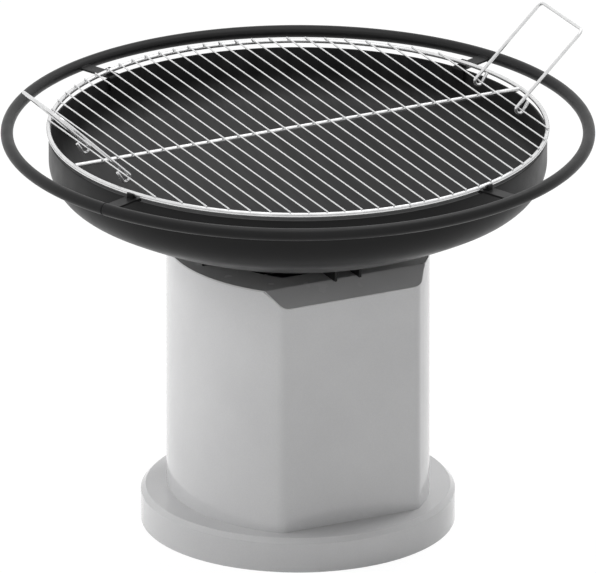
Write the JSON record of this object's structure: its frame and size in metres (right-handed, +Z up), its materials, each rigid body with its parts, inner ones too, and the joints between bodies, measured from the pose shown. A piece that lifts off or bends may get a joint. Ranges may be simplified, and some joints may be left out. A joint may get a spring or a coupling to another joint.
{
  "type": "fire bowl barbecue",
  "caption": "Dished steel fire bowl with a tubular handrail on a hollow concrete pedestal, with a lift-off wire grate that has folding handles.",
  "frame": {"origin": "centre of the base disc's underside, on the floor", "axes": "+Z up along the bowl's axis; -Y is the side of the visible flat face and its flap; the grate's bars run along Y and the crossbar and the two handles lie along X"},
  "size_m": [1.0131, 1.0132, 0.84],
  "materials": {
    "concrete": "smooth cast, sealed",
    "black_steel": "black heat-resistant coat, satin",
    "plate_steel": "mid grey coat, satin",
    "bright_steel": "bright drawn wire",
    "zinc_steel": "zinc plated"
  },
  "bodies": {
    "stand": {"base_disc": "concrete", "column": "concrete", "top_plate": "plate_steel", "plate_screws": "zinc_steel", "plate_sockets": "zinc_steel", "foot_bolts": "zinc_steel", "foot_washers": "zinc_steel", "foot_sockets": "zinc_steel", "blade_front": "black_steel", "blade_rear": "black_steel", "blade_left": "black_steel", "blade_right": "black_steel", "fire_bowl": "black_steel", "handrail": "black_steel", "bracket_1": "black_steel", "bracket_2": "black_steel", "bracket_3": "black_steel", "bracket_4": "black_steel", "grate_stop_1": "black_steel", "grate_stop_2": "black_steel", "grate_stop_3": "black_steel", "grate_stop_4": "black_steel"},
    "grate": {"grate_ring": "bright_steel", "grate_crossbar": "bright_steel", "grate_bar_1": "bright_steel", "grate_bar_2": "bright_steel", "grate_bar_3": "bright_steel", "grate_bar_4": "bright_steel", "grate_bar_5": "bright_steel", "grate_bar_6": "bright_steel", "grate_bar_7": "bright_steel", "grate_bar_8": "bright_steel", "grate_bar_9": "bright_steel", "grate_bar_10": "bright_steel", "grate_bar_11": "bright_steel", "grate_bar_12": "bright_steel", "grate_bar_13": "bright_steel", "grate_bar_14": "bright_steel", "grate_bar_15": "bright_steel", "grate_bar_16": "bright_steel", "grate_bar_17": "bright_steel", "grate_bar_18": "bright_steel", "grate_bar_19": "bright_steel", "grate_bar_20": "bright_steel", "grate_bar_21": "bright_steel", "grate_bar_22": "bright_steel", "grate_bar_23": "bright_steel", "grate_bar_24": "bright_steel", "grate_bar_25": "bright_steel", "pivot_bar_left": "bright_steel", "pivot_bar_right": "bright_steel"},
    "handle_left": {"handle_left": "bright_steel"},
    "handle_right": {"handle_right": "bright_steel"}
  },
  "joints": [
    {"name": "grate_lift", "type": "slide", "parent": "stand", "child": "grate", "axis": [0, 0, 1], "range_m": [0, 0.25]},
    {"name": "handle_right_fold", "type": "hinge", "parent": "grate", "child": "handle_right", "pos_m": [0.3722, -0.02, 0.71508], "axis": [0, 1, 0], "range_deg": [-116, 45.5]},
    {"name": "handle_left_fold", "type": "hinge", "parent": "grate", "child": "handle_left", "pos_m": [-0.3722, -0.02, 0.71508], "axis": [0, -1, 0], "range_deg": [-116, 45.5]}
  ]
}
